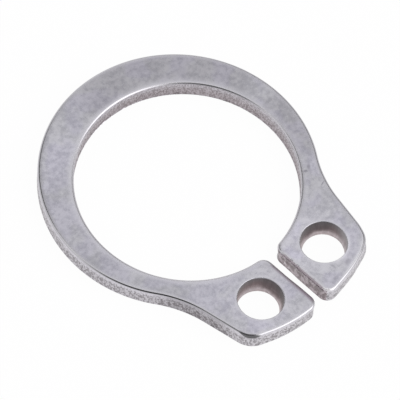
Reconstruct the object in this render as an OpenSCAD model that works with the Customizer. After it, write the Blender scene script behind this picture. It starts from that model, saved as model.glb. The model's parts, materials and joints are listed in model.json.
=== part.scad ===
// Retaining ring for a shaft: one piece of spring steel strip, stamped, hardened and tumbled smooth.
// The ring lies on its lower face. Its bore is centred on the Z axis and its gap points along -Y.

/* [Ring] */
// Bore of the free ring, before it is sprung into its groove
bore_d = 11.0; // [10.5:0.1:11.6]
// Thickness of the strip
thick = 1.0; // [0.8:0.05:1.3]
// Radial width opposite the gap, where the ring bends hardest
back_w = 1.92; // [1.7:0.02:2.2]
// Shift of the outer circle away from the gap, which makes both arms taper
outer_shift = 0.57; // [0.4:0.01:0.65]

/* [Lugs] */
// Gap between the two lugs of the free ring
gap_w = 0.68; // [0.5:0.02:1.0]
// Reach of a lug beyond the bore, at the gap
lug_reach = 3.65; // [3.4:0.05:3.9]
// Radius of the arc that ends both lugs
lug_end_r = 9.3; // [8.8:0.1:10]
// Width of a lug from its gap face to its flank, level with the plier hole
lug_w = 4.02; // [3.8:0.02:4.3]
// Angle by which each flank closes in on the gap
flank_a = 11; // [8:0.5:14]
// Radius of the hollow where the arm sweeps out into the lug
root_r = 6.0; // [4.5:0.1:7]
// Radius of the lug's outer corner, away from the gap
corner_r = 1.2; // [0.8:0.05:1.5]
// Radius of the lug's outer corner at the gap
tip_r = 0.5; // [0.3:0.05:0.7]
// Radius of the lug's inner corner at the gap
heel_r = 0.5; // [0.3:0.05:0.7]

/* [Plier holes] */
// Diameter of a plier hole where the punch went in
hole_d = 2.24; // [2.0:0.02:2.5]
// Diameter of a plier hole at the lower face
hole_exit_d = 2.06; // [1.9:0.02:2.2]
// Height of the narrower band at the foot of a plier hole
hole_break_h = 0.34; // [0.2:0.02:0.5]
// Distance of a plier hole's centre from the gap face
hole_from_gap = 1.93; // [1.8:0.01:2.1]
// Distance of a plier hole's centre from the bore, along the gap
hole_from_bore = 1.5; // [1.4:0.02:1.7]

/* [Tumbled edges] */
// Radius of the rounded edge all round the top face
top_edge_r = 0.13; // [0.06:0.01:0.2]
// Radius of the rounded edge all round the lower face
low_edge_r = 0.07; // [0.04:0.01:0.1]

/* [Hidden] */
$fn = 96;
steel = [0.70, 0.70, 0.74];
// Reach of a cut past the metal, up, down and outwards
past = 0.3;
// Length and width of a half space, well over the ring's own
far = 30;
// An edge round is set in by this share of its radius, so that it crosses its faces at a shallow angle
edge_share = 0.96;
// A corner's arc overlaps its neighbours by this much, so that it crosses them and doesn't just touch
blend = 0.002;
// Reach of a corner's cut beyond its arc, as a share of its radius, to cover the sharp corner
corner_share = 0.6;
// Depth to which the fillet at the root of a lug is bedded in the arm and the lug
root_bed = 0.6;

bore_r = bore_d/2;
outer_r = bore_r + back_w - outer_shift;
gap_x = gap_w/2;
bore_c = [0, 0];
outer_c = [0, outer_shift];
end_c = [0, lug_end_r - bore_r - lug_reach];
hole_c = [gap_x + hole_from_gap, -bore_r - hole_from_bore];

// The flank is the line with the outward normal flank_n, at the distance flank_off from the bore's centre
flank_n = [cos(flank_a), -sin(flank_a)];
flank_t = [-sin(flank_a), -cos(flank_a)];
flank_off = flank_n * [gap_x + lug_w, hole_c.y];

// Point at the distance d along the flank's normal and r from the centre c, towards the lug's end
function beside_flank(d, c, r) =
    let (across = d - flank_n*c)
    d*flank_n + (flank_t*c + sqrt(r*r - across*across))*flank_t;
// Point at the distance x from the gap's middle and r from the centre c, below that centre
function beside_gap(x, c, r) = [x, c.y - sqrt(r*r - x*x)];
// Direction of the point p from the centre c, in degrees
function heading(c, p) = atan2(p.y - c.y, p.x - c.x);

// Centres of the arcs that round the corners of a lug
root_c = beside_flank(flank_off + root_r - blend, outer_c, outer_r + root_r - blend);
corner_c = beside_flank(flank_off - corner_r + blend, end_c, lug_end_r - corner_r + blend);
tip_c = beside_gap(gap_x + tip_r - blend, end_c, lug_end_r - tip_r + blend);
heel_c = beside_gap(gap_x + heel_r - blend, bore_c, bore_r + heel_r - blend);

module both_sides() {
    children();
    mirror([1, 0, 0]) children();
}

// What tumbling takes off a square edge at the origin, with the metal below and to the left of it
module worn_edge(r) {
    inset = edge_share*r;
    difference() {
        translate([-inset, -inset]) square(2*inset);
        translate([-inset, -inset]) circle(r);
    }
}

// Both worn edges of a wall that stands at x = 0, with the metal to the left of it
module worn_edges() {
    translate([0, thick]) worn_edge(top_edge_r);
    mirror([0, 1]) worn_edge(low_edge_r);
}

// Section of the strip for a width w to the left of a wall at x = 0, with its worn edges
module section(w) {
    difference() {
        translate([-w, 0]) square([w, thick]);
        worn_edges();
    }
}

// Section of a cut that leaves a wall at x = 0 with worn edges, and clears a width w to the right of it
module cut_section(w) {
    translate([0, -past]) square([w, thick + 2*past]);
    worn_edges();
}

// Disc with worn edges
module worn_disc(c, r) {
    translate([c.x, c.y, 0])
        rotate_extrude()
            difference() {
                square([r, thick]);
                translate([r, 0]) worn_edges();
            }
}

// Half space of strip with a worn edge, on the inner side of the flank's line
module worn_flank() {
    rotate(-flank_a) translate([flank_off, far/2, 0]) rotate([90, 0, 0]) linear_extrude(far) section(far);
}

// Cut round a corner of a lug, between two headings from the centre of its arc
module corner_cut(c, r, from, to) {
    translate([c.x, c.y, 0])
        rotate_extrude(start = from, angle = to - from)
            translate([r, 0]) cut_section(corner_share*r);
}

// Lug with its flank and its end, and sharp corners
module lug() {
    intersection() {
        worn_disc(end_c, lug_end_r);
        worn_flank();
        translate([0, -far, -past]) cube([far, far, thick + 2*past]);
    }
}

// Fillet in the hollow between an arm and the flank of its lug
module root_fillet() {
    from = 180 + heading(outer_c, root_c);
    to = 180 - flank_a;
    translate([root_c.x, root_c.y, 0])
        rotate_extrude(start = from, angle = to - from)
            translate([root_r, 0]) mirror([1, 0]) section(root_bed);
}

// Bore of the ring, which is what grips the bottom of the shaft's groove
module bore_cut() {
    rotate_extrude() {
        translate([bore_r, 0]) mirror([1, 0]) worn_edges();
        translate([0, -past]) square([bore_r, thick + 2*past]);
    }
}

// Gap between the lugs, from inside the bore to beyond their ends
module gap_cut() {
    translate([0, -bore_r/2, 0]) rotate([90, 0, 0]) linear_extrude(far) {
        translate([-gap_x, 0]) cut_section(gap_w);
        translate([gap_x, 0]) mirror([1, 0]) worn_edges();
    }
}

// Punched hole for the tip of the pliers: straight where the punch cut, narrower where the slug broke out
module plier_hole() {
    entry_r = hole_d/2;
    exit_r = hole_exit_d/2;
    translate([hole_c.x, hole_c.y, 0]) rotate_extrude() {
        polygon([[0, -past], [exit_r, -past], [exit_r, 0], [entry_r, hole_break_h],
                 [entry_r, thick + past], [0, thick + past]]);
        translate([entry_r, thick]) mirror([1, 0]) worn_edge(top_edge_r);
        translate([exit_r, 0]) rotate(180) worn_edge(low_edge_r);
    }
}

module retaining_ring() {
    color(steel)
        difference() {
            union() {
                worn_disc(outer_c, outer_r);
                both_sides() {
                    lug();
                    root_fillet();
                }
            }
            bore_cut();
            gap_cut();
            both_sides() {
                corner_cut(corner_c, corner_r, heading(end_c, corner_c), -flank_a);
                corner_cut(tip_c, tip_r, -180, heading(end_c, tip_c));
                corner_cut(heel_c, heel_r, 180 + heading(bore_c, heel_c), 180);
                plier_hole();
            }
        }
}

retaining_ring();
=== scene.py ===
# %% [markdown]
# # A retaining ring for a shaft
#
# This lesson dresses one small steel part, the open ring that springs into a groove on a shaft
# and stops a bearing from sliding off. The real ring is stamped from a strip of spring steel,
# hardened, and tumbled among stones until its edges are smooth. The CAD frame already has its
# exact outline. What it lacks is what the eye reads as stamped steel: the way the face rolls
# over at its rim, the torn grain of the walls, and the cloudy satin that tumbling leaves.

# %% The frame
import json
import math

import bpy
from mathutils import Matrix, Vector

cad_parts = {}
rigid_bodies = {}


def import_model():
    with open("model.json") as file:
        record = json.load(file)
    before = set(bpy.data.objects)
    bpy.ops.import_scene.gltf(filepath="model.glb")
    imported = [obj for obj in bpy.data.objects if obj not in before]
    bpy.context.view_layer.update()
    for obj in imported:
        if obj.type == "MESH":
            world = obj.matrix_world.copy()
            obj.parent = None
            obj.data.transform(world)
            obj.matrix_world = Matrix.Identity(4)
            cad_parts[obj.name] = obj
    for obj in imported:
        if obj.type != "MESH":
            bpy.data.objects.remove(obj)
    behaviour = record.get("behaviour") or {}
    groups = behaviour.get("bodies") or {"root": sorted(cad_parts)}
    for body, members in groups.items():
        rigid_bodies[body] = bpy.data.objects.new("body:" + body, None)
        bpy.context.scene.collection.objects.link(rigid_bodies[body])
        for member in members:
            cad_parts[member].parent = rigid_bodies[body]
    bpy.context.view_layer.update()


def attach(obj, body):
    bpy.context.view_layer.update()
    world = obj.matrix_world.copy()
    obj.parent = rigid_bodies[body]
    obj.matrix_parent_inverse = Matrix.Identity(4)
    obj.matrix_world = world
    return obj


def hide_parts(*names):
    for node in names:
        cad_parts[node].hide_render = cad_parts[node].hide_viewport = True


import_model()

# %% [markdown]
# ## The camera
#
# The photograph was taken from far off with a long lens, because the two sides of the ring
# hardly differ in size. Six values place such a camera: the direction it looks from, its roll,
# its distance, and the point it aims at. They were found by fitting the ring's outline to the
# photograph, with the ring's real sizes held still.

# %% Camera
CAMERA_AZIMUTH = math.radians(-51.162)
CAMERA_ELEVATION = math.radians(59.212)
CAMERA_ROLL = math.radians(6.275)
CAMERA_DISTANCE = 0.28978
AIM_RIGHT, AIM_UP, AIM_HEIGHT = 0.000701, -0.000865, 0.001
SENSOR_WIDTH = 36
LENS = 540

toward_camera = Vector((
    math.sin(CAMERA_AZIMUTH) * math.cos(CAMERA_ELEVATION),
    -math.cos(CAMERA_AZIMUTH) * math.cos(CAMERA_ELEVATION),
    math.sin(CAMERA_ELEVATION),
))
level_right = Vector((math.cos(CAMERA_AZIMUTH), math.sin(CAMERA_AZIMUTH), 0))
level_up = toward_camera.cross(level_right)
aim = level_right * AIM_RIGHT + level_up * AIM_UP + Vector((0, 0, AIM_HEIGHT))

bpy.ops.object.camera_add(location=aim + toward_camera * CAMERA_DISTANCE)
camera = bpy.context.object
camera.name = "long_lens"
camera.rotation_mode = "QUATERNION"
camera.rotation_quaternion = toward_camera.to_track_quat("Z", "Y")
camera.data.sensor_width = SENSOR_WIDTH
camera.data.lens = LENS
camera.data.clip_start = 0.01
camera.data.clip_end = 10


def aim_camera():
    """Turns the camera's own axes to the level ones, rolled about the line of sight."""
    turn = math.cos(CAMERA_ROLL), math.sin(CAMERA_ROLL)
    side = level_right * turn[0] + level_up * turn[1]
    top = level_up * turn[0] - level_right * turn[1]
    axes = Matrix((side, top, toward_camera)).transposed()
    camera.rotation_quaternion = axes.to_quaternion()


aim_camera()
bpy.context.scene.camera = camera
print("camera stands at", [round(x, 4) for x in camera.location])

# %% [markdown]
# ## The sizes
#
# The ring is drawn in millimetres, one unit to the millimetre, because Blender's modelling
# tools round off very small steps. It is shrunk to metres when it is finished. The sizes are
# the ones that the CAD source uses.

# %% Sizes
BORE_R = 5.5
THICK = 1.0
OUTER_SHIFT = 0.57
OUTER_R = BORE_R + 1.92 - OUTER_SHIFT
GAP_X = 0.34
LUG_REACH = 3.65
LUG_END_R = 9.3
LUG_W = 4.02
FLANK_A = math.radians(11)
ROOT_R = 6.0
CORNER_R = 1.2
TIP_R = 0.5
HEEL_R = 0.5
HOLE_R = 1.12
HOLE_EXIT_R = 1.03
HOLE_BREAK_H = 0.34
HOLE = Vector((GAP_X + 1.93, -BORE_R - 1.5, 0))
CELL = 0.05

outer_c = Vector((0, OUTER_SHIFT, 0))
bore_c = Vector((0, 0, 0))
end_c = Vector((0, LUG_END_R - BORE_R - LUG_REACH, 0))
flank_out = Vector((math.cos(FLANK_A), -math.sin(FLANK_A), 0))
gap_out = Vector((-1, 0, 0))
flank_off = flank_out.dot(Vector((GAP_X + LUG_W, HOLE.y, 0)))

# %% [markdown]
# ## Where the arcs meet
#
# Each corner of the lug is an arc that touches its two neighbours. Its centre lies at a known
# distance beside a straight side and at a known distance from the centre of the neighbour arc,
# so it is where a line crosses a circle. That is how a draughtsman finds it with compass and
# ruler, and it keeps the outline smooth, with no kink to catch the light.


# %% Centres of the small arcs
def crossing(out, offset, centre, radius):
    """The lower point at that offset along out and that radius from centre."""
    along = Vector((-out.y, out.x, 0))
    beside = offset - out.dot(centre)
    reach = math.sqrt(radius ** 2 - beside ** 2)
    points = [centre + out * beside + along * s * reach for s in (-1, 1)]
    return min(points, key=lambda p: p.y)


root_c = crossing(flank_out, flank_off + ROOT_R, outer_c, OUTER_R + ROOT_R)
corner_c = crossing(flank_out, flank_off - CORNER_R, end_c, LUG_END_R - CORNER_R)
tip_c = crossing(gap_out, -GAP_X - TIP_R, end_c, LUG_END_R - TIP_R)
heel_c = crossing(gap_out, -GAP_X - HEEL_R, bore_c, BORE_R + HEEL_R)
for name, c in (("root", root_c), ("corner", corner_c), ("tip", tip_c), ("heel", heel_c)):
    print(f"{name} arc is centred at {c.x:.3f}, {c.y:.3f}")

# %% [markdown]
# ## The edge profile
#
# A punch drags the sheet down with it before it cuts, so the face bends over towards the wall
# in a wide shallow curve. Where it ends, tumbling has worn the crisp corner to a small round.
# The profile is a list of stations, each with its distance in from the wall and its height.
# The wide curve is a parabola and the small round an arc that meets it at the same slope.

# %% Edge profile
ROLL_W = 0.2
ROLL_SLOPE = math.radians(8)
EDGE_R = 0.13
LOW_EDGE_R = 0.03
ARC_STEPS = 8
ROLL_STEPS = 4
SUPPORT = 0.03


def worn_round(radius, from_angle, to_angle, steps):
    """Distance in and height above the arc's centre, from the wall inwards."""
    stations = []
    for i in range(1, steps + 1):
        tilt = from_angle + (to_angle - from_angle) * i / steps
        stations.append((radius * (1 - math.sin(tilt)), radius * math.cos(tilt)))
    return stations


def rolled_face(width, slope, steps):
    """Distance in and height of the wide shallow curve, from its steep end inwards."""
    fall = width * math.tan(slope) / 2
    shares = [i / steps for i in range(1, steps + 1)]
    return [(width * s, fall * (1 - (1 - s) ** 2)) for s in shares]


top_round = worn_round(EDGE_R, math.radians(90), ROLL_SLOPE, ARC_STEPS)
roll = rolled_face(ROLL_W, ROLL_SLOPE, ROLL_STEPS)
top_profile = top_round + [(top_round[-1][0] + i, top_round[-1][1] + h) for i, h in roll]
top_profile.append((top_profile[-1][0] + SUPPORT, top_profile[-1][1]))
low_profile = worn_round(LOW_EDGE_R, math.radians(90), 0, 4)
low_profile.append((low_profile[-1][0] + SUPPORT, low_profile[-1][1]))
wall_top = THICK - top_profile[-1][1]
wall_foot = low_profile[-1][1]
print(f"wall from {wall_foot:.3f} to {wall_top:.3f} mm high")


# %% [markdown]
# ## Drawing with a pen
#
# A draughtsman draws an outline with a pen that is lifted, swung about a centre or pushed along
# a ruler. Here the pen is one point of a mesh: spin swings it and extrude pushes it, and both
# leave a chain of short edges behind.

# %% Helpers for drawing
def heading(centre, point):
    """The angle at which point is seen from centre."""
    return math.atan2(point.y - centre.y, point.x - centre.x)


def start_at(point, height):
    """A plane drawn together to one point is the pen of the drawing."""
    bpy.ops.mesh.primitive_plane_add(size=0.1, location=(point.x, point.y, height))
    bpy.ops.mesh.merge(type="CENTER")


def draw_arc(centre, radius, begin, end, height):
    """Spins the pen about a centre. A positive spin runs clockwise here."""
    steps = max(4, round(abs(end - begin) * radius / CELL))
    bpy.ops.mesh.spin(
        steps=steps, angle=begin - end, center=(centre.x, centre.y, height), axis=(0, 0, 1)
    )


def draw_line(step):
    """Pulls the pen along a straight side in cells."""
    cells = max(1, round(step.length / CELL))
    for _ in range(cells):
        bpy.ops.mesh.extrude_region_move(TRANSFORM_OT_translate={"value": step / cells})


def select_edges(piece, test):
    """Selects the edges whose two ends pass the test."""
    bpy.ops.mesh.select_mode(type="EDGE")
    bpy.ops.mesh.select_all(action="DESELECT")
    bpy.ops.object.mode_set(mode="OBJECT")
    places = [v.co for v in piece.data.vertices]
    for edge in piece.data.edges:
        a, b = edge.vertices
        edge.select = test(places[a], places[b])
    bpy.ops.object.mode_set(mode="EDIT")


# %% [markdown]
# ## Two plier holes
#
# Pliers grip the ring by two punched holes. Each hole is a sleeve: a crisp rim, a smooth band
# where the punch sheared the steel, and a cone that narrows towards the foot. A sleeve is drawn
# from a circle by extruding its rim down and resizing it at each station. The punch wandered a
# little, so every station may also lean aside by a few hundredths of a millimetre.

# %% Plier holes
HOLE_RIM_R = 0.03
HOLE_MOUTH_R = HOLE_R + 0.02
SLEEVE_ROWS = 12
CONE_ROWS = 6
RIM_REACH = 0.2
LEANS = {1: Vector((-0.005, 0.06, 0)), -1: Vector((0.105, -0.015, 0))}
hole_columns = round(2 * math.pi * HOLE_R / CELL)
rim_z = THICK - HOLE_RIM_R
rim_round = worn_round(HOLE_RIM_R, math.radians(90), 0, 3)
rim_out = HOLE_MOUTH_R + rim_round[-1][0]
hole_stations = [(rim_out + RIM_REACH, THICK), (rim_out + RIM_REACH / 2, THICK), (rim_out + 0.01, THICK)]
hole_stations += [(HOLE_MOUTH_R + i, rim_z + h) for i, h in reversed(rim_round)]
for i in range(SLEEVE_ROWS + 1):
    share = i / SLEEVE_ROWS
    hole_stations.append((HOLE_MOUTH_R + share * (HOLE_R - HOLE_MOUTH_R), rim_z + share * (HOLE_BREAK_H - rim_z)))
for i in range(1, CONE_ROWS + 1):
    share = i / CONE_ROWS
    hole_stations.append((HOLE_R + share * (HOLE_EXIT_R - HOLE_R), (1 - share) * HOLE_BREAK_H + share * LOW_EDGE_R))
low_round = worn_round(LOW_EDGE_R, math.radians(90), 0, 3)
hole_stations += [(HOLE_EXIT_R + i, LOW_EDGE_R - h) for i, h in low_round]


def draw_sleeve(axis, lean):
    """One hole around an axis. Lean is how far the mouth lies aside of the foot."""
    bpy.ops.mesh.select_all(action="DESELECT")
    r_above, z_above = hole_stations[0]
    at = axis + lean + Vector((0, 0, z_above))
    bpy.ops.mesh.primitive_circle_add(vertices=hole_columns, radius=r_above, location=at)
    for r, z in hole_stations[1:]:
        step = lean * (z - z_above) + Vector((0, 0, z - z_above))
        at = at + step
        bpy.ops.mesh.extrude_region_move(TRANSFORM_OT_translate={"value": step})
        bpy.ops.transform.resize(value=(r / r_above, r / r_above, 1), center_override=at)
        r_above, z_above = r, z


bpy.ops.object.select_all(action="DESELECT")
bpy.ops.mesh.primitive_circle_add(vertices=3, radius=0.1)
ring = bpy.context.object
ring.name = "worn_retaining_ring"
bpy.ops.object.mode_set(mode="EDIT")
bpy.ops.mesh.select_all(action="SELECT")
bpy.ops.mesh.delete(type="VERT")
bpy.ops.mesh.select_mode(type="EDGE")
for side, lean in LEANS.items():
    draw_sleeve(Vector((side * HOLE.x, HOLE.y, 0)), lean)
bpy.ops.mesh.select_all(action="DESELECT")
ring.update_from_editmode()
print("two hole sleeves have", len(ring.data.polygons), "faces")

# %% [markdown]
# ## The outline
#
# Half the outline is drawn with one pen from the back of the ring to its bore: six arcs and
# two straight sides. The second half is its mirror image.

# %% Outline
bpy.ops.mesh.select_mode(type="VERT")
start_at(Vector((0, OUTER_SHIFT + OUTER_R, 0)), wall_top)
draw_arc(outer_c, OUTER_R, math.pi / 2, heading(outer_c, root_c), wall_top)
root_begin = heading(root_c, outer_c)
root_end = heading(Vector((0, 0, 0)), -flank_out)
draw_arc(root_c, ROOT_R, root_begin, root_end, wall_top)
flank_begin = root_c - flank_out * ROOT_R
flank_end = corner_c + flank_out * CORNER_R
draw_line(flank_end - flank_begin)
end_begin = heading(end_c, corner_c)
draw_arc(corner_c, CORNER_R, -FLANK_A, end_begin, wall_top)
end_stop = heading(end_c, tip_c)
draw_arc(end_c, LUG_END_R, end_begin, end_stop, wall_top)
draw_arc(tip_c, TIP_R, end_stop, -math.pi, wall_top)
draw_line(Vector((0, heel_c.y - tip_c.y, 0)))
draw_arc(heel_c, HEEL_R, math.pi, heading(heel_c, bore_c), wall_top)
draw_arc(bore_c, BORE_R, heading(bore_c, heel_c), math.pi / 2, wall_top)
bpy.ops.mesh.select_linked()
bpy.ops.mesh.duplicate()
bpy.ops.transform.resize(value=(-1, 1, 1), center_override=(0, 0, 0))
select_edges(ring, lambda a, b: abs(a.z - wall_top) < 1e-4 and abs(b.z - wall_top) < 1e-4 and (Vector((abs(a.x), a.y, 0)) - HOLE).length > HOLE_R + 0.4)
bpy.ops.mesh.remove_doubles(threshold=0.002)
ring.update_from_editmode()
print("outline and sleeves have", len(ring.data.vertices), "points")

# %% [markdown]
# ## Face, wall and foot
#
# The outline becomes a face, the face is extruded to a solid, and each station of the edge
# profile is one inset followed by a lift. Inset keeps every new outline at an even distance
# from the last, as wear does. The two middle faces are then taken out and filled again with
# the holes in them.

# %% Extrude and inset
bpy.ops.mesh.edge_face_add()
bpy.ops.mesh.select_mode(type="FACE")
bpy.ops.mesh.extrude_region_move(TRANSFORM_OT_translate={"value": (0, 0, wall_foot - wall_top)})


def inset_stations(profile, up):
    """Insets the selected face station by station, and lifts it each time."""
    inset, rise = 0.0, 0.0
    for i, h in profile:
        bpy.ops.mesh.inset(thickness=i - inset, depth=0, use_even_offset=True, use_boundary=True)
        bpy.ops.transform.translate(value=(0, 0, (h - rise) * up))
        inset, rise = i, h


def is_middle(vertices_in_face):
    """Only the two middle faces of the ring have more than a hundred corners."""
    return vertices_in_face > 100


bpy.ops.mesh.select_all(action="SELECT")
bpy.ops.mesh.normals_make_consistent(inside=False)
for profile, up in ((top_profile, 1), (low_profile, -1)):
    bpy.ops.mesh.select_all(action="DESELECT")
    bpy.ops.object.mode_set(mode="OBJECT")
    for face in ring.data.polygons:
        face.select = is_middle(len(face.vertices)) and face.normal.z * up > 0.9
    bpy.ops.object.mode_set(mode="EDIT")
    inset_stations(profile, up)
    bpy.ops.mesh.delete(type="ONLY_FACE")
ring.update_from_editmode()
print("rolled and rounded:", len(ring.data.polygons), "faces")

# %% [markdown]
# ## The two flat faces
#
# Each flat face is filled between three loops: the last inset of the outline and the rims of
# the two holes.

# %% Fill the flat faces
for height in (THICK, 0.0):
    bpy.ops.mesh.select_mode(type="EDGE")
    bpy.ops.mesh.select_non_manifold(
        extend=False, use_wire=False, use_multi_face=False, use_non_contiguous=False, use_verts=False
    )
    bpy.ops.object.mode_set(mode="OBJECT")
    levels = [v.co.z for v in ring.data.vertices]
    open_edges = {
        edge.index
        for edge in ring.data.edges
        if edge.select and all(abs(levels[v] - height) < 1e-4 for v in edge.vertices)
    }
    bpy.ops.object.mode_set(mode="EDIT")
    bpy.ops.mesh.select_all(action="DESELECT")
    bpy.ops.object.mode_set(mode="OBJECT")
    for edge in ring.data.edges:
        edge.select = edge.index in open_edges
    bpy.ops.object.mode_set(mode="EDIT")
    bpy.ops.mesh.fill(use_beauty=True)
select_edges(ring, lambda a, b: abs(a.z - b.z) > 0.5 * (wall_top - wall_foot) and (Vector((abs(a.x), a.y, 0)) - HOLE).length > HOLE_R + 0.4)
WALL_ROWS = 16
bpy.ops.mesh.subdivide(number_cuts=WALL_ROWS - 1)
bpy.ops.mesh.select_all(action="SELECT")
bpy.ops.mesh.normals_make_consistent(inside=False)
bpy.ops.object.mode_set(mode="OBJECT")
print("ring has", len(ring.data.vertices), "points and", sum(len(f.vertices) - 2 for f in ring.data.polygons), "triangles")

# %% [markdown]
# ## Signs of use
#
# No stamped ring is quite even. The lugs of this one reach a little further out than its drawing
# says, and at the outer corner of the right lug the punch has drawn the face in and left the
# foot standing out. Such a place is pulled by a few hundredths of a millimetre with proportional
# editing, which takes its neighbours along and leaves no step.

# %% Pulled corners
CORNER_TURN = math.radians(-42)
corner_out = Vector((math.cos(CORNER_TURN), math.sin(CORNER_TURN), 0))
corner_side = corner_c + corner_out * CORNER_R
# each pull: a place, how far around it everything goes along, the pull, and its reach
PULLS = {
    "right lug end": (Vector((3.2, -8.65, 0.5)), 0.7, Vector((0.005, -0.042, 0)), 1.3),
    "left lug end": (Vector((-2.1, -8.9, 0.5)), 0.6, Vector((0, -0.024, 0)), 0.9),
    "left tip": (Vector((-0.4, -8.6, 0.5)), 0.6, Vector((0.04, 0, 0)), 1.2),
    "foot of the right heel": (Vector((0.36, -6.1, 0)), 0.3, Vector((0.035, 0, 0)), 1.0),
    "foot of the right corner": (corner_side, 0.35, corner_out * 0.05, 0.9),
    "edge of the right corner": (corner_side + Vector((0, 0, THICK)), 0.4, corner_out * -0.05, 0.5),
}

bpy.ops.object.mode_set(mode="EDIT")
for spot, core, pull, reach in PULLS.values():
    select_edges(ring, lambda a, b: max((a - spot).length, (b - spot).length) < core)
    bpy.ops.transform.translate(
        value=pull,
        use_proportional_edit=True,
        use_proportional_connected=True,
        proportional_edit_falloff="SMOOTH",
        proportional_size=reach,
    )
ring.update_from_editmode()
bpy.ops.object.mode_set(mode="OBJECT")
print("lug ends now reach y =", round(min(v.co.y for v in ring.data.vertices), 3))

# %% [markdown]
# ## Zones of the surface
#
# The ring is one piece, but its surface has zones with a history of their own. The faces were
# clouded by the tumbling stones, and the rounded edges polished by them. The outer wall, the bore
# and the gap are torn steel; the bore and the gap are painted darker than the outer wall, painted
# shade from the floor in the ring's shadow. The plier holes keep the brown skin of hardening, with
# painted shade over it. Each zone gets its own material slot, and each face finds its zone by its
# place and its slope.

# %% Zones
ZONES = ["satin_face", "worn_edge", "outer_wall", "bore_wall", "gap_wall", "hole_wall"]
FACE_SLOPE = math.cos(math.radians(10))
WALL_SLOPE = 0.45
RIM_SLOPE = 0.3
for zone in ZONES:
    ring.data.materials.append(bpy.data.materials.new(zone))


def from_hole(point, leaning=0.0):
    """Distance from the axis of the nearer plier hole. Its mouth leans aside."""
    side = 1 if point.x > 0 else -1
    axis = Vector((side * HOLE.x, HOLE.y, 0)) + LEANS[side] * leaning
    return (point.xy - axis.xy).length


def beside_gap(point, reach):
    """True for a place by the straight sides of the gap."""
    return abs(point.x) < GAP_X + reach and tip_c.y < point.y < heel_c.y


def zone_of(point, normal):
    """The zone of a place on the ring."""
    if abs(normal.z) > FACE_SLOPE:
        return "satin_face"
    if from_hole(point) < HOLE_R + 0.28:
        return "hole_wall" if abs(normal.z) < RIM_SLOPE or point.z < HOLE_BREAK_H else "satin_face"
    if abs(normal.z) > WALL_SLOPE:
        return "worn_edge"
    if abs(point.x) < GAP_X + 0.12 and point.y < -BORE_R and abs(normal.x) > 0.6:
        return "gap_wall"
    if math.hypot(point.x, point.y) < BORE_R + 0.1:
        return "bore_wall"
    return "outer_wall"


counts = dict.fromkeys(ZONES, 0)
for face in ring.data.polygons:
    zone = zone_of(face.center, face.normal)
    face.material_index = ZONES.index(zone)
    counts[zone] += 1
print("faces per zone:", counts)

# %% [markdown]
# ## Torn walls and nicks
#
# Below the smooth band that the punch shears, the steel tears, and the tear is rough. The edges
# of the gap are nicked. A Displace modifier moves points inwards along their normals, and a
# vertex group says how much each point may move.

# %% Weights of the relief
TEAR_STARTS = 0.8
NICKS = (-6.55, -6.97, -8.0)
NICK_REACH = 0.07
CALM = 0.4
CHIP_TURN = math.radians(-40)
CHIP_HALF = math.radians(32)
CHIP_TAPER = 0.12
CHIP_TOP = 0.985
CHIP_DEPTH = 0.26
SOFT = 0.03
round_top = THICK - rolled_face(ROLL_W, ROLL_SLOPE, 1)[0][1]


def torn_weight(point):
    """Grows below the sheared band and fades at the foot. The end of the right lug is calmer."""
    share = CALM if point.x > 0.8 and point.y < -7 else 1
    return share * min(1, max(0, (TEAR_STARTS - point.z) / 0.2)) * min(1, max(0, (point.z + 0.02) / 0.1))


def chip_weight(point):
    """A lens in the rounded edge at the outer corner of the left lug. It tapers to the lug's end."""
    place = Vector((-point.x, point.y, 0))
    turn = (heading(corner_c, place) - CHIP_TURN) / CHIP_HALF
    if (place - corner_c).length < CORNER_R - EDGE_R or abs(turn) > 1:
        return 0
    low = CHIP_TOP - CHIP_DEPTH * (1 - turn ** 2) ** 1.5
    top = CHIP_TOP - CHIP_TAPER * min(0, turn) ** 2
    return min(1, max(0, (point.z - low) / SOFT)) * min(1, max(0, (top + SOFT / 2 - point.z) / SOFT))


def nick_weight(point):
    """Three small nicks in the upper edge of the right side of the gap."""
    if point.x < 0 or not beside_gap(point, 0.16) or point.z < wall_top - 0.15:
        return 0
    return max(max(0, 1 - ((point.y - y) / NICK_REACH) ** 2) for y in NICKS)


zone_points = {zone: set() for zone in ZONES}
for face in ring.data.polygons:
    zone_points[ZONES[face.material_index]].update(face.vertices)
walls = zone_points["outer_wall"] | zone_points["gap_wall"]
rounds = zone_points["worn_edge"] | zone_points["outer_wall"] | zone_points["gap_wall"]
GROUPS = {
    "torn_wall": (walls, torn_weight),
    "torn_bore": (zone_points["bore_wall"], torn_weight),
    "sheared_wall": (zone_points["hole_wall"], torn_weight),
    "nicked_edge": (rounds, nick_weight),
    "chipped_corner": (rounds, chip_weight),
}
for name, (members, weigh) in GROUPS.items():
    group = ring.vertex_groups.new(name=name)
    weights = {i: weigh(ring.data.vertices[i].co) for i in members}
    for i, weight in weights.items():
        if weight > 0:
            group.add([i], weight, "REPLACE")
    print(name, "holds", sum(w > 0 for w in weights.values()), "points")

# %% [markdown]
# ## What the materials need to know
#
# Two places have a finish of their own: the chip, whose dark colour is a painted reflection, and
# the rims where the face rolls over, which carry a painted highlight. How far a point belongs to
# them is stored with the point, so that the materials can read it later.

# %% Painted highlight on the rims
chip = ring.data.attributes.new("chip", "FLOAT", "POINT")
for v in ring.data.vertices:
    chip.data[v.index].value = chip_weight(v.co)
# The rim value says where the face carries a painted highlight: along the rolled rims and round the mouths of the
# plier holes.
rim = ring.data.attributes.new("rim", "FLOAT", "POINT")
for i in zone_points["satin_face"] | zone_points["worn_edge"]:
    place = ring.data.vertices[i].co
    rolled = (THICK - place.z) / (THICK - round_top)
    by_mouth = max(0, 1 - (from_hole(place, leaning=1) - rim_out) / RIM_REACH) if place.z > rim_z else 0
    rim.data[i].value = min(1, max(rolled, by_mouth ** 2))

# %% [markdown]
# ## Carving the relief
#
# One small function adds a Displace modifier with a cloud texture and applies it. The torn walls
# get a coarse and a fine layer, because a tear is rough at more than one size. The clouds are
# stretched upwards, as the punch drew the steel.

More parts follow.
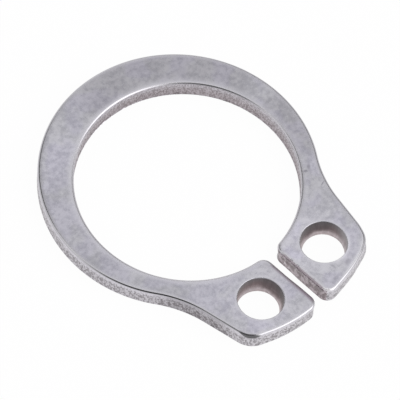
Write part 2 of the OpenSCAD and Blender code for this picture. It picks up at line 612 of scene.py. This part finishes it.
# %% Relief
bpy.ops.object.empty_add(location=(0, 0, 0))
stretch = bpy.context.object
stretch.scale = (1, 1, 1.8)
bpy.context.view_layer.objects.active = ring


def displace(group, strength, size):
    """Moves the points of a group inwards by a cloud texture, and applies it."""
    relief = ring.modifiers.new(group, "DISPLACE")
    relief.vertex_group = group
    relief.mid_level = 1
    relief.strength = strength
    relief.texture = bpy.data.textures.new(group, "CLOUDS")
    relief.texture.noise_scale = size
    relief.texture.noise_depth = 1
    relief.texture_coords = "OBJECT"
    relief.texture_coords_object = stretch
    bpy.ops.object.modifier_apply(modifier=group)


displace("nicked_edge", 0.02, 0.16)
displace("torn_wall", 0.02, 0.28)
displace("torn_wall", 0.03, 0.1)
displace("torn_bore", 0.04, 0.28)
displace("torn_bore", 0.05, 0.09)
displace("sheared_wall", 0.006, 0.2)
displace("chipped_corner", 0.03, 0.5)
bpy.data.objects.remove(stretch)
bpy.ops.object.shade_smooth_by_angle(angle=math.radians(32))

# %% [markdown]
# ## Into the frame
#
# The finished ring shrinks from millimetres to metres and takes the place of the CAD solid. It
# is made a hair smaller in plan, so that it never stands out of the solid's box.

# %% Shrink to metres
HAIR = 0.9997
ring.scale = (0.001 * HAIR, 0.001 * HAIR, 0.001)
bpy.ops.object.select_all(action="DESELECT")
ring.select_set(True)
bpy.ops.object.transform_apply(location=False, rotation=False, scale=True)
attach(ring, "root")
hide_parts("retaining_ring")

# %% [markdown]
# ## Nodes by name
#
# A material is a small network. Three short helpers keep the cells readable: one places a
# node and fills or links its sockets, and two mix colours and numbers.


# %% Node helpers
PER_MM = 1000


def put(tree, kind, settings=None, **sockets):
    """Places a node. A socket is given by its name with _ for a space, as a value or a link."""
    node = tree.nodes.new(kind)
    for key, value in (settings or {}).items():
        setattr(node, key, value)
    for key, value in sockets.items():
        socket = node.inputs[int(key[1:])] if key[0] == "i" and key[1:].isdigit() else node.inputs[key.replace("_", " ")]
        if isinstance(value, bpy.types.NodeSocket):
            tree.links.new(value, socket)
        else:
            socket.default_value = value
    return node


def blend_colours(tree, share, first, second):
    """A colour between two, by share."""
    return put(tree, "ShaderNodeMix", {"data_type": "RGBA"}, i0=share, i6=first, i7=second).outputs[2]


def blend_numbers(tree, share, first, second):
    """A number between two, by share."""
    return put(tree, "ShaderNodeMix", {"data_type": "FLOAT"}, i0=share, i2=first, i3=second).outputs[0]


def ramp(tree, value, low, high, to_low=0.0, to_high=1.0):
    """Maps low to high onto another range, with soft ends."""
    soft = {"interpolation_type": "SMOOTHSTEP"}
    ends = {"From_Min": low, "From_Max": high, "To_Min": to_low, "To_Max": to_high}
    return put(tree, "ShaderNodeMapRange", soft, Value=value, **ends).outputs[0]


def sum_of(tree, first, second, operation="ADD"):
    """Two numbers through one Math node."""
    return put(tree, "ShaderNodeMath", {"operation": operation}, i0=first, i1=second).outputs[0]


def in_millimetres(tree):
    """The place on the object, in millimetres."""
    place = put(tree, "ShaderNodeTexCoord").outputs["Object"]
    return put(tree, "ShaderNodeVectorMath", {"operation": "SCALE"}, Vector=place, Scale=PER_MM).outputs[0]


def multiply(tree, first, second):
    """The product of two colours."""
    product = {"data_type": "RGBA", "blend_type": "MULTIPLY"}
    return put(tree, "ShaderNodeMix", product, i0=1.0, i6=first, i7=second).outputs[2]


def new_group(name, inputs, outputs):
    """A shader node group with named number sockets. Returns it with its two ends."""
    group = bpy.data.node_groups.new(name, "ShaderNodeTree")
    for label, value in inputs.items():
        group.interface.new_socket(label, in_out="INPUT", socket_type="NodeSocketFloat").default_value = value
    for label in outputs:
        group.interface.new_socket(label, in_out="OUTPUT", socket_type="NodeSocketFloat")
    return group, group.nodes.new("NodeGroupInput"), group.nodes.new("NodeGroupOutput")


def use_group(tree, group, **values):
    """Places a group in a material with its own values."""
    node = tree.nodes.new("ShaderNodeGroup")
    node.node_tree = group
    for key, value in values.items():
        node.inputs[key.replace("_", " ")].default_value = value
    return node


# %% [markdown]
# ## Where on the ring
#
# Stains, dull drifts and rubbed edges all lie at some place of the ring. Two node groups find
# places. One is a soft oval patch that can be laid anywhere on the face. The other says how near
# a point is to the bore, or to the left or right side of the gap.

# %% Soft patch
oval, ends_in, ends_out = new_group(
    "soft_patch", {"X": 0.0, "Y": 0.0, "Length": 1.0, "Width": 1.0, "Turn": 0.0}, ["Share"]
)
centre = put(oval, "ShaderNodeCombineXYZ", X=ends_in.outputs["X"], Y=ends_in.outputs["Y"]).outputs[0]
beside = put(oval, "ShaderNodeVectorMath", {"operation": "SUBTRACT"}, i0=in_millimetres(oval), i1=centre).outputs[0]
back = put(oval, "ShaderNodeMath", {"operation": "RADIANS"}, i0=ends_in.outputs["Turn"]).outputs[0]
turned = put(oval, "ShaderNodeVectorRotate", {"rotation_type": "Z_AXIS", "invert": True}, Vector=beside, Angle=back)
reach = put(oval, "ShaderNodeCombineXYZ", X=ends_in.outputs["Length"], Y=ends_in.outputs["Width"], Z=1.0).outputs[0]
shrunk = put(oval, "ShaderNodeVectorMath", {"operation": "DIVIDE"}, i0=turned.outputs[0], i1=reach).outputs[0]
level = put(oval, "ShaderNodeVectorMath", {"operation": "MULTIPLY"}, i0=shrunk, i1=(1, 1, 0)).outputs[0]
ball = put(oval, "ShaderNodeTexGradient", {"gradient_type": "SPHERICAL"}, Vector=level).outputs["Fac"]
oval.links.new(ball, ends_out.inputs["Share"])


def patch(tree, x, y, length, width=None, turn=0):
    """1 at a place of the face, in millimetres, falling to 0 at that reach."""
    return use_group(tree, oval, X=x, Y=y, Length=length, Width=width or length, Turn=turn).outputs["Share"]


# %% Edge finder
edge_finder, ends_in, ends_out = new_group(
    "edge_finder", {"Near": 0.0, "Far": 0.1}, ["Gap Left", "Gap Right", "Bore"]
)
near, far = ends_in.outputs["Near"], ends_in.outputs["Far"]
in_mm = in_millimetres(edge_finder)
apart = put(edge_finder, "ShaderNodeSeparateXYZ", Vector=in_mm)
across = apart.outputs["X"]
inset = sum_of(edge_finder, put(edge_finder, "ShaderNodeMath", {"operation": "ABSOLUTE"}, i0=across).outputs[0], GAP_X, "SUBTRACT")
by_gap = ramp(edge_finder, inset, near, far, 1.0, 0.0)
by_gap = sum_of(edge_finder, by_gap, ramp(edge_finder, apart.outputs["Y"], tip_c.y - 0.5, tip_c.y - 0.2), "MULTIPLY")
by_gap = sum_of(edge_finder, by_gap, ramp(edge_finder, apart.outputs["Y"], heel_c.y - 0.25, heel_c.y, 1.0, 0.0), "MULTIPLY")
for label, begin, end in (("Gap Left", 0.0, 1.0), ("Gap Right", 1.0, 0.0)):
    side = ramp(edge_finder, across, -0.1, 0.1, 1 - begin, 1 - end)
    edge_finder.links.new(sum_of(edge_finder, by_gap, side, "MULTIPLY"), ends_out.inputs[label])
flat = put(edge_finder, "ShaderNodeVectorMath", {"operation": "MULTIPLY"}, i0=in_mm, i1=(1, 1, 0)).outputs[0]
radius = put(edge_finder, "ShaderNodeVectorMath", {"operation": "LENGTH"}, i0=flat).outputs["Value"]
outside = sum_of(edge_finder, radius, BORE_R, "SUBTRACT")
edge_finder.links.new(ramp(edge_finder, outside, near, far, 1.0, 0.0), ends_out.inputs["Bore"])
print("edge finder has", len(edge_finder.nodes), "nodes")

# %% [markdown]
# ## Clouds left by tumbling
#
# Tumbling stones rub one patch of a flat face more than the next. The face then shows soft
# clouds a few tenths of a millimetre wide, inside wider drifts. Two noise textures of
# different size, read at the object's own coordinates, give both.

# %% Tumbling clouds
clouds, ends_in, ends_out = new_group(
    "tumbling_clouds",
    {"Cloud Scale": 3.8, "Drift Scale": 0.7, "Balance": 0.28},
    ["Tone", "Gloss", "Tint"],
)
in_mm = in_millimetres(clouds)
small = put(clouds, "ShaderNodeTexNoise", Vector=in_mm, Scale=ends_in.outputs["Cloud Scale"], Detail=5, Roughness=0.68)
wide = put(clouds, "ShaderNodeTexNoise", Vector=in_mm, Scale=ends_in.outputs["Drift Scale"], Detail=2, Roughness=0.5)
tone = blend_numbers(clouds, ends_in.outputs["Balance"], small.outputs[0], wide.outputs[0])
hues = put(clouds, "ShaderNodeSeparateXYZ", Vector=wide.outputs["Color"]).outputs["Y"]
clouds.links.new(ramp(clouds, tone, 0.36, 0.64), ends_out.inputs["Tone"])
clouds.links.new(ramp(clouds, small.outputs[0], 0.3, 0.7), ends_out.inputs["Gloss"])
clouds.links.new(ramp(clouds, hues, 0.42, 0.58), ends_out.inputs["Tint"])
print("clouds group has", len(clouds.nodes), "nodes")

# %% [markdown]
# ## Grain of torn steel
#
# Torn steel is a field of tiny facets. Most are grey, some face away and look dark, and a few
# catch the light. Noise that is stretched along the height gives the dark pits, and single
# cells of a Voronoi texture give the sparks.

# %% Torn grain
grain, ends_in, ends_out = new_group(
    "torn_grain", {"Grain Scale": 11.0, "Height Stretch": 0.65, "Torn Below": 0.85}, ["Pits", "Torn", "Sparks", "Height"]
)
apart = put(grain, "ShaderNodeSeparateXYZ", Vector=in_millimetres(grain))
squeezed = sum_of(grain, apart.outputs["Z"], ends_in.outputs["Height Stretch"], "MULTIPLY")
along = put(grain, "ShaderNodeCombineXYZ", X=apart.outputs["X"], Y=apart.outputs["Y"], Z=squeezed).outputs[0]
fine = put(grain, "ShaderNodeTexNoise", Vector=along, Scale=ends_in.outputs["Grain Scale"], Detail=3, Roughness=0.65)
grain.links.new(ramp(grain, fine.outputs[0], 0.42, 0.58), ends_out.inputs["Pits"])
under = sum_of(grain, apart.outputs["Z"], ends_in.outputs["Torn Below"], "SUBTRACT")
grain.links.new(ramp(grain, under, -0.25, 0.0, 1.0, 0.15), ends_out.inputs["Torn"])
flakes = put(grain, "ShaderNodeTexVoronoi", Vector=along, Scale=ends_in.outputs["Grain Scale"])
chance = put(grain, "ShaderNodeSeparateXYZ", Vector=flakes.outputs["Color"]).outputs["X"]
flake = ramp(grain, flakes.outputs["Distance"], 0.15, 0.45, 1.0, 0.0)
grain.links.new(sum_of(grain, ramp(grain, chance, 0.84, 0.9), flake, "MULTIPLY"), ends_out.inputs["Sparks"])
grain.links.new(apart.outputs["Z"], ends_out.inputs["Height"])
print("grain group has", len(grain.nodes), "nodes")


# %% [markdown]
# ## Steel of the faces
#
# The flat faces are satin steel: a metal with a middling roughness. Its colour is built up in
# layers. First come broad patches of painted shade at the back of the ring and painted light on
# the lugs, then the tumbling clouds, a few small marks, and last a painted highlight on the rims.

# %% Steel of the faces
def steel_shader(material):
    """The shader node of a metal material, ready to be fed."""
    material.use_nodes = True
    shader = material.node_tree.nodes["Principled BSDF"]
    shader.inputs["Metallic"].default_value = 1
    return material.node_tree, shader


SATIN = (0.437, 0.43, 0.472, 1)
TINT_GREY = (1.0, 1.005, 0.985, 1)
TINT_BLUE = (0.995, 0.99, 1.02, 1)
RIM_HIGHLIGHT_COLOUR = (0.56, 0.55, 0.59, 1)
LUG_END_HIGHLIGHT_COLOUR = (0.80, 0.79, 0.83, 1)
LUG_END_HIGHLIGHT_PLACE = (3.0, -8.7, 1.6)
BORE_HIGHLIGHT_AND_GAP_TONE = (0.66, 0.65, 0.69, 1)
GAP_BROWN = (0.27, 0.225, 0.27, 1)
CLOUD_DARK = (0.80, 0.80, 0.815, 1)
CLOUD_LIGHT = (1.20, 1.20, 1.19, 1)
tree, shader = steel_shader(ring.data.materials["satin_face"])
cloud = use_group(tree, clouds)


shade = SATIN
# each patch of painted shade and painted light: place and radius in millimetres, how early it is full, strength,
# colour
# The dull tone is painted shade and the bright tone painted light, laid where light falls unevenly on the face.
PAINTED_SHADE_TONE = (0.29, 0.28, 0.31, 1)
PAINTED_LIGHT_TONE = (0.56, 0.545, 0.62, 1)
PAINTED_LIGHT_AND_SHADE = {
    "shaded back": (3.2, 5.0, 5.2, 0.38, 0.6, PAINTED_SHADE_TONE),
    "shaded side": (6.0, -1.2, 2.4, 0.5, 0.5, PAINTED_SHADE_TONE),
    "shaded right of the back": (5.9, 4.2, 1.3, 0.6, 0.16, PAINTED_SHADE_TONE),
    "shaded left": (-6.0, -1.6, 4.2, 0.5, 0.15, PAINTED_SHADE_TONE),
    "shaded upper left": (-6.4, 3.0, 2.0, 0.6, 0.13, PAINTED_SHADE_TONE),
    "shaded left heel": (-0.3, -5.7, 1.0, 0.6, 0.36, PAINTED_SHADE_TONE),
    "shaded right root": (3.6, -4.1, 1.5, 0.6, 0.2, PAINTED_SHADE_TONE),
    "lit right lug": (1.5, -6.0, 3.4, 0.8, 0.52, PAINTED_LIGHT_TONE),
    "lit left lug": (-2.4, -7.4, 2.9, 0.8, 0.32, PAINTED_LIGHT_TONE),
    "lit upper left": (-4.2, 6.0, 2.1, 0.6, 0.25, PAINTED_LIGHT_TONE),
}
for x, y, radius, full, strength, colour in PAINTED_LIGHT_AND_SHADE.values():
    share = ramp(tree, patch(tree, x, y, radius), 0.0, full, 0.0, strength)
    shade = blend_colours(tree, share, shade, colour)
mottle = blend_colours(tree, cloud.outputs["Tone"], CLOUD_DARK, CLOUD_LIGHT)
tint = blend_colours(tree, cloud.outputs["Tint"], TINT_BLUE, TINT_GREY)
shade = multiply(tree, multiply(tree, shade, mottle), tint)
# each mark: place, length, width in millimetres, turn in degrees, strength
MARKS = {
    "dark spot": (4.5, -3.57, 0.17, 0.1, -30, 0.95),
    "smear beside the spot": (4.8, -3.52, 0.2, 0.12, 40, 0.5),
    "fine scratch": (4.63, -4.63, 0.26, 0.045, 16, 0.6),
    "slanting smudge": (1.62, -8.15, 0.24, 0.08, -80, 0.28),
    "stain by the hole": (2.33, -8.5, 0.32, 0.2, 20, 0.3),
    "stain by the tip": (1.24, -8.72, 0.2, 0.12, 0, 0.3),
}
for x, y, length, width, turn, strength in MARKS.values():
    share = ramp(tree, patch(tree, x, y, length, width, turn), 0.0, 0.7, 0.0, strength)
    shade = blend_colours(tree, share, shade, (0.17, 0.16, 0.195, 1))
# Painted highlight: the face is made lighter towards the bore.
by_bore = use_group(tree, edge_finder, Near=0.12, Far=0.5).outputs["Bore"]
shade = blend_colours(tree, sum_of(tree, by_bore, 0.25, "MULTIPLY"), shade, BORE_HIGHLIGHT_AND_GAP_TONE)
# Painted highlight on the rims, lighter still at the right lug end.
painted_rim_highlight = put(tree, "ShaderNodeAttribute", {"attribute_name": "rim"}).outputs["Fac"]
by_end = ramp(tree, patch(tree, *LUG_END_HIGHLIGHT_PLACE), 0.0, 0.5)
blended_rim_highlight = blend_colours(tree, by_end, RIM_HIGHLIGHT_COLOUR, LUG_END_HIGHLIGHT_COLOUR)
shade = blend_colours(tree, sum_of(tree, painted_rim_highlight, 0.7, "MULTIPLY"), shade, blended_rim_highlight)
by_gap = use_group(tree, edge_finder, Near=0.08, Far=0.28)
shade = blend_colours(tree, by_gap.outputs["Gap Left"], shade, GAP_BROWN)
shade = blend_colours(tree, sum_of(tree, by_gap.outputs["Gap Right"], 0.6, "MULTIPLY"), shade, BORE_HIGHLIGHT_AND_GAP_TONE)
tree.links.new(shade, shader.inputs["Base Color"])
gloss = blend_numbers(tree, cloud.outputs["Gloss"], 0.26, 0.36)
tree.links.new(gloss, shader.inputs["Roughness"])

# %% [markdown]
# ## Steel of the worn edges
#
# Where the stones reached the rounded edges they polished them, so the edges mirror the room
# more sharply than the faces do. They show as a thin bright line on one side of the ring and a
# thin dark line on the other. The stones missed the narrow gap, whose right edge keeps the matt
# skin of hardening. The chip at the corner of the left lug is painted dark, a painted reflection.
# The edge also carries a painted highlight by the bore and at the tip of the right lug, and painted
# shade at the right lug end that narrows the bright line there.

# %% Steel of the worn edges
# The chip is painted dark as a painted reflection: darkest at its foot, lighter towards its head.
CHIP_SHADE_FOOT = (0.045, 0.043, 0.046, 1)
CHIP_SHADE_HEAD = (0.19, 0.185, 0.195, 1)


chip_shade, ends_in, ends_out = new_group("chip_shade", {"Low": CHIP_TOP - CHIP_DEPTH, "High": CHIP_TOP}, ["Chip", "Up"])
chipped = put(chip_shade, "ShaderNodeAttribute", {"attribute_name": "chip"}).outputs["Fac"]
height = put(chip_shade, "ShaderNodeSeparateXYZ", Vector=in_millimetres(chip_shade)).outputs["Z"]
chip_shade.links.new(chipped, ends_out.inputs["Chip"])
chip_shade.links.new(ramp(chip_shade, height, ends_in.outputs["Low"], ends_in.outputs["High"]), ends_out.inputs["Up"])


def chip_shade_colour(tree, shade):
    """A steel colour with the chip's painted dark reflection over it."""
    chip_shade_node = use_group(tree, chip_shade)
    dark = blend_colours(tree, chip_shade_node.outputs["Up"], CHIP_SHADE_FOOT, CHIP_SHADE_HEAD)
    return blend_colours(tree, chip_shade_node.outputs["Chip"], shade, dark)


tree, shader = steel_shader(ring.data.materials["worn_edge"])
by_gap = use_group(tree, edge_finder, Near=0.05, Far=0.13)
by_bore = use_group(tree, edge_finder, Near=0.2, Far=0.3).outputs["Bore"]
# Painted highlight: the worn edge is made lighter by the bore.
shade = blend_colours(tree, by_bore, (0.52, 0.51, 0.54, 1), (0.57, 0.555, 0.59, 1))
# Painted shade: the worn edge is made darker at the right lug end, which narrows its bright line.
by_end = ramp(tree, patch(tree, *LUG_END_HIGHLIGHT_PLACE), 0.0, 0.5)
shade = blend_colours(tree, by_end, shade, (0.45, 0.44, 0.465, 1))
shade = blend_colours(tree, by_gap.outputs["Gap Left"], shade, (0.30, 0.25, 0.29, 1))
shade = blend_colours(tree, by_gap.outputs["Gap Right"], shade, (0.45, 0.39, 0.43, 1))
# Painted highlight: a near-white patch at the tip of the right lug, by the gap.
tip_highlight = ramp(tree, patch(tree, 0.5, -8.98, 0.4), 0.0, 0.5)
shade = blend_colours(tree, tip_highlight, shade, (0.85, 0.83, 0.86, 1))
tree.links.new(chip_shade_colour(tree, shade), shader.inputs["Base Color"])
skinned = sum_of(tree, by_gap.outputs["Gap Right"], tip_highlight, "MAXIMUM")
skinned = sum_of(tree, skinned, -0.7, "MULTIPLY")
tree.links.new(sum_of(tree, skinned, 1.0), shader.inputs["Metallic"])
dulled = sum_of(tree, by_gap.outputs["Gap Left"], by_gap.outputs["Gap Right"])
dulled = sum_of(tree, dulled, sum_of(tree, by_bore, 0.45, "MULTIPLY"), "MAXIMUM")
dulled = sum_of(tree, dulled, use_group(tree, chip_shade).outputs["Chip"], "MAXIMUM")
tree.links.new(blend_numbers(tree, dulled, 0.17, 0.38), shader.inputs["Roughness"])

# %% [markdown]
# ## Steel of the walls
#
# Every wall is lighter in the sheared band under its upper edge and darker in the torn part
# below: painted shade, as a wall mirrors the floor's contact shadow. The bore and the gap are
# painted darker than the outer wall, painted shade from the floor in the ring's shadow. Only the gap
# and the plier holes are darker above, where the brown skin is thickest.

# %% Steel of the walls
# Top and foot colours: the step between them is painted shade, and the bore and gap colours are darker as painted
# shade.
WALLS = {
    "outer_wall": {
        "top": (0.64, 0.62, 0.67, 1),
        "foot": (0.555, 0.533, 0.568, 1),
        "pit": (0.15, 0.133, 0.145, 1),
        "pits": 0.7,
        "torn_below": 0.92,
        "grain": 9.5,
        "top_band": (0.3, 0.9),
    },
    "bore_wall": {
        "top": (0.535, 0.51, 0.55, 1),
        "foot": (0.425, 0.385, 0.41, 1),
        "pit": (0.13, 0.10, 0.105, 1),
        "pits": 0.6,
        "torn_below": 1.05,
        "grain": 11.0,
        "top_band": (0.3, 0.9),
    },
    "gap_wall": {
        "top": (0.52, 0.45, 0.495, 1),
        "foot": (0.405, 0.35, 0.375, 1),
        "pit": (0.12, 0.09, 0.095, 1),
        "pits": 0.7,
        "torn_below": 1.2,
        "grain": 4.5,
        "top_band": (0.72, 0.86),
    },
}
SPARK = (0.85, 0.82, 0.86, 1)
for zone, wall in WALLS.items():
    tree, shader = steel_shader(ring.data.materials[zone])
    torn_grain = use_group(tree, grain, Torn_Below=wall["torn_below"], Grain_Scale=wall["grain"])
    shade = blend_colours(tree, ramp(tree, torn_grain.outputs["Height"], *wall["top_band"]), wall["foot"], wall["top"])
    share = wall["pits"]
    if zone == "outer_wall":
        # Painted shade below the left root of the outer wall, and painted light on the lug ends.
        painted_shade = ramp(tree, patch(tree, -4.6, -5.2, 2.4), 0.0, 0.6, 0.0, 0.45)
        shade = blend_colours(tree, painted_shade, shade, (0.2, 0.185, 0.2, 1))
        painted_light = ramp(tree, patch(tree, -0.8, -9.4, 5.0), 0.0, 0.5, 0.0, 0.2)
        shade = blend_colours(tree, painted_light, shade, (0.85, 0.83, 0.85, 1))
        share = sum_of(tree, sum_of(tree, painted_shade, 0.5, "MULTIPLY"), share)
    shade = blend_colours(tree, sum_of(tree, torn_grain.outputs["Sparks"], 0.4, "MULTIPLY"), shade, SPARK)
    torn = sum_of(tree, torn_grain.outputs["Torn"], share, "MULTIPLY")
    pits = sum_of(tree, torn_grain.outputs["Pits"], torn, "MULTIPLY")
    shade = blend_colours(tree, pits, shade, wall["pit"])
    tree.links.new(chip_shade_colour(tree, shade) if zone == "outer_wall" else shade, shader.inputs["Base Color"])
    shader.inputs["Roughness"].default_value = 0.36
    if zone == "gap_wall":
        skinned = ramp(tree, torn_grain.outputs["Height"], 0.72, 0.86, 1.0, 0.3)
        tree.links.new(skinned, shader.inputs["Metallic"])

# %% [markdown]
# ## Steel of the plier holes
#
# A punched hole keeps a brown skin of hardening. Over it, the wall is painted dark above and
# lighter at the foot: painted shade and a painted reflection of the shaded floor inside the hole.
# The colour is a ramp over the height that wavers a little, with faint streaks where the punch slid
# along the wall.

# %% Steel of the plier holes
# Colours of the sleeve by height: brown skin with painted shade above and a painted reflection of the floor towards
# the foot.
SLEEVE_SKIN_AND_SHADE = {
    0.0: (0.56, 0.50, 0.51, 1),
    0.06: (0.44, 0.375, 0.38, 1),
    0.12: (0.50, 0.44, 0.455, 1),
    0.28: (0.30, 0.245, 0.25, 1),
    0.42: (0.20, 0.15, 0.155, 1),
    0.6: (0.165, 0.128, 0.13, 1),
    0.98: (0.155, 0.142, 0.15, 1),
}
tree, shader = steel_shader(ring.data.materials["hole_wall"])
in_mm = in_millimetres(tree)
waver = put(tree, "ShaderNodeTexNoise", Vector=in_mm, Scale=1.5, Detail=1).outputs[0]
height = put(tree, "ShaderNodeSeparateXYZ", Vector=in_mm).outputs["Z"]
height = sum_of(tree, height, ramp(tree, waver, 0.3, 0.7, -0.06, 0.06))
bands = put(tree, "ShaderNodeValToRGB", Fac=height)
stops = bands.color_ramp.elements
for _ in range(len(SLEEVE_SKIN_AND_SHADE) - 2):
    stops.new(0.5)
for stop, (at, colour) in zip(stops, SLEEVE_SKIN_AND_SHADE.items()):
    stop.position = at
    stop.color = colour
shade = bands.outputs["Color"]
above_foot = ramp(tree, height, 0.1, 0.45)
# Painted shade on one side of each hole.
for x, y in ((2.8, -6.0), (-1.17, -7.15)):
    painted_shade = sum_of(tree, ramp(tree, patch(tree, x, y, 1.5), 0.0, 0.8, 0.0, 0.6), above_foot, "MULTIPLY")
    shade = blend_colours(tree, painted_shade, shade, (0.07, 0.062, 0.066, 1))
# A patch of painted light on the right hole, towards the lug end.
light = ramp(tree, patch(tree, 3.3, -7.8, 1.2), 0.0, 0.6, 0.0, 0.4)
shade = blend_colours(tree, light, shade, (0.42, 0.40, 0.42, 1))
drawn_out = put(tree, "ShaderNodeVectorMath", {"operation": "MULTIPLY"}, i0=in_mm, i1=(1, 1, 0.15)).outputs[0]
streaks = put(tree, "ShaderNodeTexNoise", Vector=drawn_out, Scale=7, Detail=2).outputs[0]
streaks = blend_colours(tree, ramp(tree, streaks, 0.3, 0.7), (0.9, 0.895, 0.895, 1), (1.1, 1.09, 1.095, 1))
tree.links.new(multiply(tree, shade, streaks), shader.inputs["Base Color"])
shader.inputs["Roughness"].default_value = 0.4

# %% [markdown]
# ## A white table
#
# The photograph has a pure white background. The table is a matt white disc, and to the camera
# and in reflections it glows at almost the strength of white, so that it joins the background.

# %% Floor
bpy.ops.mesh.primitive_circle_add(vertices=96, radius=1.5, fill_type="NGON", location=(0, 0, -0.00002))
floor = bpy.context.object
floor.name = "white_table"
paper = bpy.data.materials.new("white_paper")
paper.use_nodes = True
paper.node_tree.nodes.clear()
tree = paper.node_tree
rays = put(tree, "ShaderNodeLightPath")
seen = sum_of(tree, rays.outputs["Is Camera Ray"], rays.outputs["Is Glossy Ray"], "MAXIMUM")
seen = sum_of(tree, seen, rays.outputs["Is Transmission Ray"], "MAXIMUM")
FLOOR_GLOW = 0.97
glow = put(tree, "ShaderNodeEmission", Color=(1, 1, 1, 1), Strength=1)
matt = put(tree, "ShaderNodeBsdfDiffuse", Color=(1.0, 0.95, 0.985, 1))
table = put(tree, "ShaderNodeMixShader", i0=sum_of(tree, seen, FLOOR_GLOW, "MULTIPLY"), i1=matt.outputs[0], i2=glow.outputs[0])
clear = put(tree, "ShaderNodeBsdfTransparent")
below = put(tree, "ShaderNodeNewGeometry").outputs["Backfacing"]
sided = put(tree, "ShaderNodeMixShader", i0=below, i1=table.outputs[0], i2=clear.outputs[0])
put(tree, "ShaderNodeOutputMaterial", Surface=sided.outputs[0])
floor.data.materials.append(paper)

# %% [markdown]
# ## A light tent
#
# Shiny steel shows its surroundings, so the lighting is drawn as what the steel sees: a white
# tent with a bright softbox to the right, and dark openings where the camera and the room are.
# The dark openings draw the thin dark lines along the rounded edges.

# %% World
world = bpy.data.worlds.new("white_tent")
bpy.context.scene.world = world
world.use_nodes = True
world.node_tree.nodes.clear()
tree = world.node_tree


def direction(azimuth, elevation):
    """A direction from the ring. Azimuth 0 is below the camera, and a positive one is to its right."""
    a = CAMERA_AZIMUTH + math.radians(azimuth)
    e = math.radians(elevation)
    return (math.sin(a) * math.cos(e), -math.cos(a) * math.cos(e), math.sin(e))


where = put(tree, "ShaderNodeTexCoord").outputs["Generated"]
height = put(tree, "ShaderNodeSeparateXYZ", Vector=where).outputs["Z"]
tent = ramp(tree, height, 0.0, 1.0, 0.85, 1.1)
# each patch: azimuth and elevation, inner and outer radius in degrees, brightness
PATCHES = {
    "bright far side": (176, 46, 4, 13, 1.5),
    "dim far side": (180, 30, 4, 15, 0.66),
    "dark far right": (158, 34, 8, 20, 0.3),
    "dark right": (140, 37, 7, 15, 0.25),
    "dark camera side": (-10, 51, 18, 42, 0.05),
    "dark left": (-130, 48, 8, 25, 0.1),
    "right softbox": (72, 40, 17, 38, 2.2),
}
for az, el, inner, outer, level in PATCHES.values():
    facing = put(tree, "ShaderNodeVectorMath", {"operation": "DOT_PRODUCT"}, i0=where, i1=direction(az, el)).outputs["Value"]
    inside = ramp(tree, facing, math.cos(math.radians(outer)), math.cos(math.radians(inner)))
    tent = blend_numbers(tree, inside, tent, level)
rays = put(tree, "ShaderNodeLightPath")
shown = blend_numbers(tree, rays.outputs["Is Camera Ray"], tent, 1.0)
sky = put(tree, "ShaderNodeBackground", Color=(1, 1, 1, 1), Strength=shown)
put(tree, "ShaderNodeOutputWorld", Surface=sky.outputs[0])

# %% [markdown]
# ## The view
#
# The Standard view shows a colour about as it is written.

# %% View
bpy.context.scene.view_settings.view_transform = "Standard"
